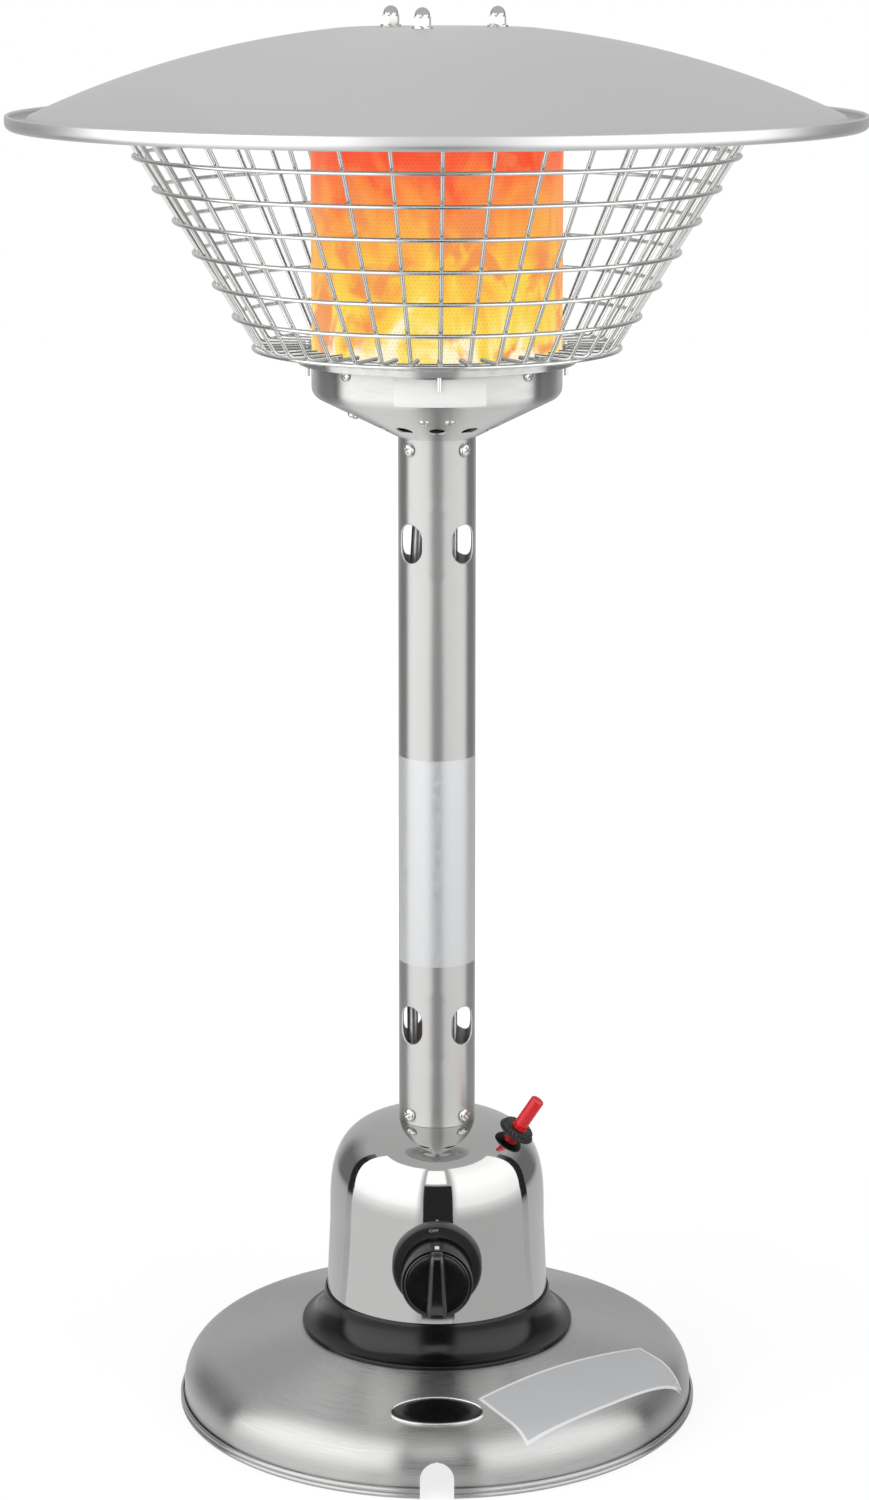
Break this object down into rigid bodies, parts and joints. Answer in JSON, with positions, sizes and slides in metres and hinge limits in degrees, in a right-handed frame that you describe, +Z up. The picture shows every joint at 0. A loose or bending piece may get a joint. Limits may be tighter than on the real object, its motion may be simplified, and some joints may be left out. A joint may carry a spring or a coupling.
{
  "type": "patio heater",
  "caption": "Tabletop patio heater: weighted round base, polished dome with control knob and igniter button, slotted post, glowing emitter in a wire guard, wide spun hood.",
  "frame": {"origin": "on the axis of the post, at the plane the base stands on", "axes": "+Z up along the post, the control knob faces -Y, +X to the right as seen from the front"},
  "size_m": [0.533, 0.533, 0.9008],
  "materials": {
    "brushed_steel": "brushed stainless steel",
    "polished_steel": "mirror polished stainless steel",
    "bright_wire": "bright plated steel wire",
    "screw_steel": "bright steel fasteners",
    "zinc_steel": "zinc plated steel",
    "heated_steel": "steel darkened by heat",
    "glowing_screen": "perforated steel glowing with heat",
    "spun_aluminium": "satin spun aluminium",
    "soft_aluminium": "soft aluminium tube",
    "cast_aluminium": "die-cast aluminium",
    "cast_iron": "cast iron",
    "brass": "turned brass",
    "copper": "copper",
    "white_ceramic": "unglazed ceramic",
    "black_rubber": "satin black rubber",
    "black_plastic": "satin black plastic",
    "red_plastic": "glossy red plastic",
    "red_lead": "silicone sleeve of a lead"
  },
  "bodies": {
    "heater": {"base_plate": "brushed_steel", "base_badge": "black_plastic", "base_weight": "cast_iron", "foot_bolts": "zinc_steel", "foot_nuts": "zinc_steel", "dome_cover": "polished_steel", "collar_ring": "black_rubber", "post_tube": "brushed_steel", "lower_post_screws": "screw_steel", "upper_post_screws": "screw_steel", "burner_bowl": "brushed_steel", "band_screws": "screw_steel", "funnel_screws": "screw_steel", "burner_flange": "brushed_steel", "emitter_screen": "glowing_screen", "emitter_cap": "heated_steel", "guard_wires": "bright_wire", "guard_rings": "bright_wire", "hood_studs": "zinc_steel", "stud_nuts": "zinc_steel", "hood_washers": "screw_steel", "acorn_nuts": "screw_steel", "reflector_hood": "spun_aluminium", "burner_plate": "heated_steel", "mixing_tube": "heated_steel", "burner_head": "heated_steel", "jet_bracket": "zinc_steel", "jet_holder": "brass", "pilot_bracket": "zinc_steel", "pilot_burner": "brass", "thermocouple_tip": "copper", "ignition_electrode": "white_ceramic", "gas_tube": "soft_aluminium", "pilot_tube": "soft_aluminium", "thermocouple_lead": "copper", "igniter_lead": "red_lead", "gas_valve": "cast_aluminium", "inlet_fitting": "brass", "tilt_switch": "black_plastic", "knob_bezel": "black_plastic", "bezel_screws": "zinc_steel", "igniter_body": "red_plastic", "igniter_nut": "black_plastic"},
    "plunger": {"valve_plunger": "brass"},
    "knob": {"control_knob": "black_plastic", "valve_stem": "brass"},
    "button": {"igniter_button": "red_plastic"}
  },
  "joints": [
    {"name": "knob_push", "type": "slide", "parent": "heater", "child": "plunger", "axis": [0, 1, 0], "range_m": [0, 0.004], "stiffness_N_per_m": 1500, "springref_m": -0.002},
    {"name": "knob_turn", "type": "hinge", "parent": "plunger", "child": "knob", "pos_m": [0, -0.08, 0.113], "axis": [0, -1, 0], "range_deg": [0, 210]},
    {"name": "igniter_push", "type": "slide", "parent": "heater", "child": "button", "axis": [-0.5104, 0.1858, -0.8396], "range_m": [0, 0.008], "stiffness_N_per_m": 400, "springref_m": -0.004}
  ]
}
